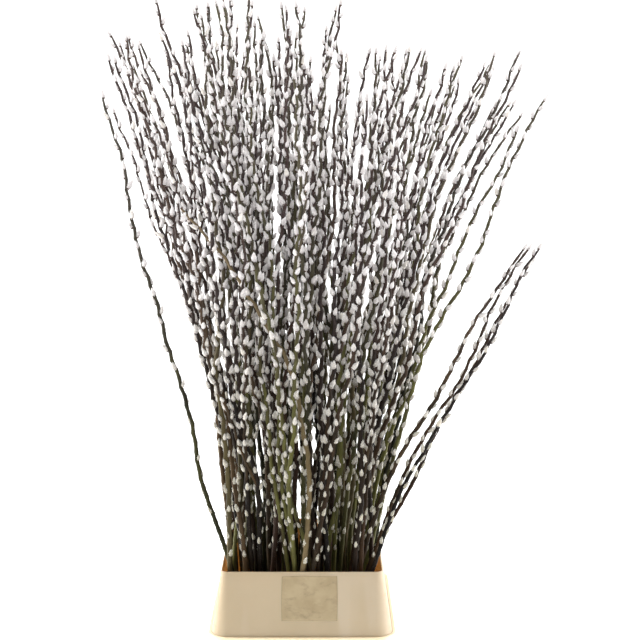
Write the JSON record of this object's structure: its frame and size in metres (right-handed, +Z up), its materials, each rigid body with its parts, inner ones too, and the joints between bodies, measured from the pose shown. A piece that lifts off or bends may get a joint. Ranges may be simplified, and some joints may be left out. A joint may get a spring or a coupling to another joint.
{
  "type": "bunch of willow branches in a flower bucket",
  "caption": "Tall bunch of cut pussy willow branches with silver catkins, standing in a tapered flower bucket with a beige collar.",
  "frame": {"origin": "middle of the bucket's flat underside, on the surface it stands on", "axes": "+Z up along the bunch, -Y towards the front that carries the label, +X to the right seen from the front"},
  "size_m": [0.7622, 0.5546, 1.274],
  "materials": {
    "bark_brown": "matte",
    "bark_olive": "matte",
    "catkin_fur": "matte",
    "bucket_plastic": "satin",
    "collar_plastic": "satin",
    "label_paper": "matte",
    "water": "gloss"
  },
  "bodies": {
    "root": {"bucket": "bucket_plastic", "collar": "collar_plastic", "far_right_branches_01": "bark_olive", "far_right_branches_02": "bark_olive", "inner_left_branches_01": "bark_olive", "inner_left_branches_02": "bark_olive", "inner_left_branches_03": "bark_olive", "inner_left_branches_04": "bark_brown", "inner_left_branches_05": "bark_olive", "inner_left_branches_06": "bark_brown", "inner_left_branches_07": "bark_brown", "inner_left_branches_08": "bark_olive", "inner_left_branches_09": "bark_olive", "inner_right_branches_01": "bark_brown", "inner_right_branches_02": "bark_brown", "inner_right_branches_03": "bark_olive", "inner_right_branches_04": "bark_olive", "inner_right_branches_05": "bark_olive", "inner_right_branches_06": "bark_olive", "inner_right_branches_07": "bark_brown", "inner_right_branches_08": "bark_brown", "label": "label_paper", "left_branches_01": "bark_brown", "left_branches_02": "bark_brown", "left_branches_03": "bark_brown", "left_branches_04": "bark_brown", "left_branches_05": "bark_brown", "left_branches_06": "bark_olive", "low_right_branches_01": "bark_brown", "low_right_branches_02": "bark_brown", "mid_left_branches_01": "bark_brown", "mid_left_branches_02": "bark_brown", "mid_left_branches_03": "bark_olive", "mid_left_branches_04": "bark_brown", "middle_branches_01": "bark_olive", "middle_branches_02": "bark_brown", "middle_branches_03": "bark_brown", "middle_branches_04": "bark_olive", "middle_branches_05": "bark_olive", "middle_branches_06": "bark_brown", "middle_branches_07": "bark_brown", "middle_branches_08": "bark_olive", "middle_branches_09": "bark_olive", "right_branches_01": "bark_olive", "right_branches_02": "bark_brown", "right_branches_03": "bark_brown", "right_branches_04": "bark_brown", "right_branches_05": "bark_olive", "stray_front_branches_01": "bark_brown", "stray_left_branches_01": "bark_olive", "water": "water"}
  },
  "joints": []
}
